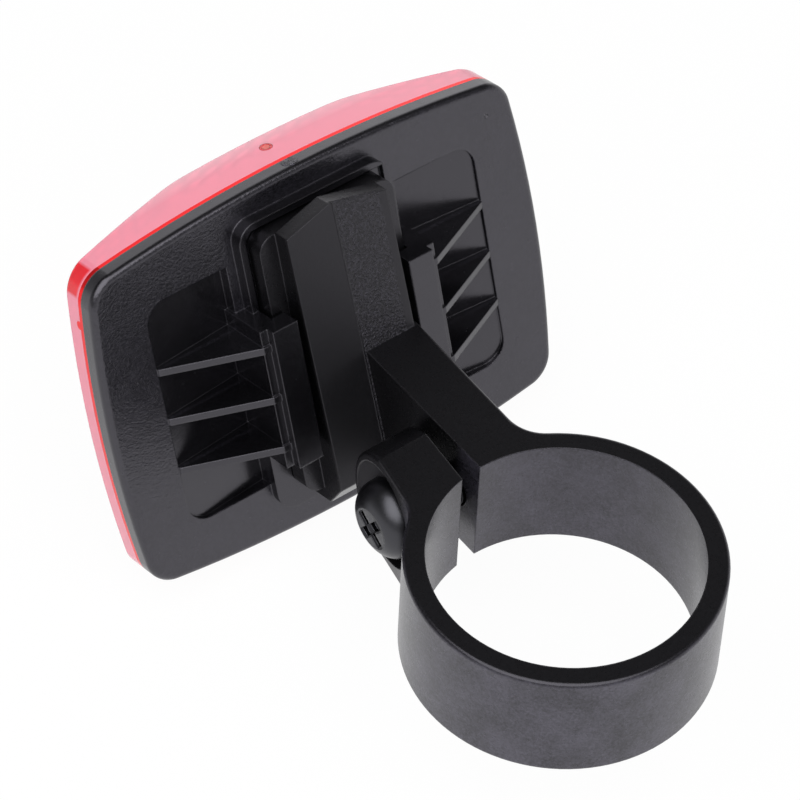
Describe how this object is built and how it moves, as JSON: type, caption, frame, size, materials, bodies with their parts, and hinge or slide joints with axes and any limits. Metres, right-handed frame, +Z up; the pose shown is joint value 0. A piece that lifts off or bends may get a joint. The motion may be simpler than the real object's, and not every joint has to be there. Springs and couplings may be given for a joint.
{
  "type": "bicycle rear reflector",
  "caption": "Red rear reflector for a bicycle: a moulded lens on a ribbed back plate that slides onto a bracket with a split ring clamp for a tube.",
  "frame": {"origin": "on the axis of the clamp's bore, halfway along the ring", "axes": "+Z up along the clamped tube, -Y backwards from the tube to the reflector, +X towards the head of the clamp screw"},
  "size_m": [0.062, 0.0788, 0.0473],
  "materials": {
    "red_acrylic": "clear gloss, translucent red",
    "black_plate_plastic": "fine spark grain",
    "black_bracket_plastic": "satin with fine grain",
    "black_steel": "black oxide, glossy",
    "zinc_steel": "bright zinc"
  },
  "bodies": {
    "bracket": {"bracket": "black_bracket_plastic", "clamp_nut": "zinc_steel"},
    "head": {"lens": "red_acrylic", "back_plate": "black_plate_plastic"},
    "screw": {"clamp_screw": "black_steel"}
  },
  "joints": [
    {"name": "head_slide", "type": "slide", "parent": "bracket", "child": "head", "axis": [0, -0.3045, 0.9525], "range_m": [0, 0.03]},
    {"name": "screw_turn", "type": "hinge", "parent": "bracket", "child": "screw", "pos_m": [0, -0.0208, 0], "axis": [1, 0, 0], "continuous": true}
  ]
}
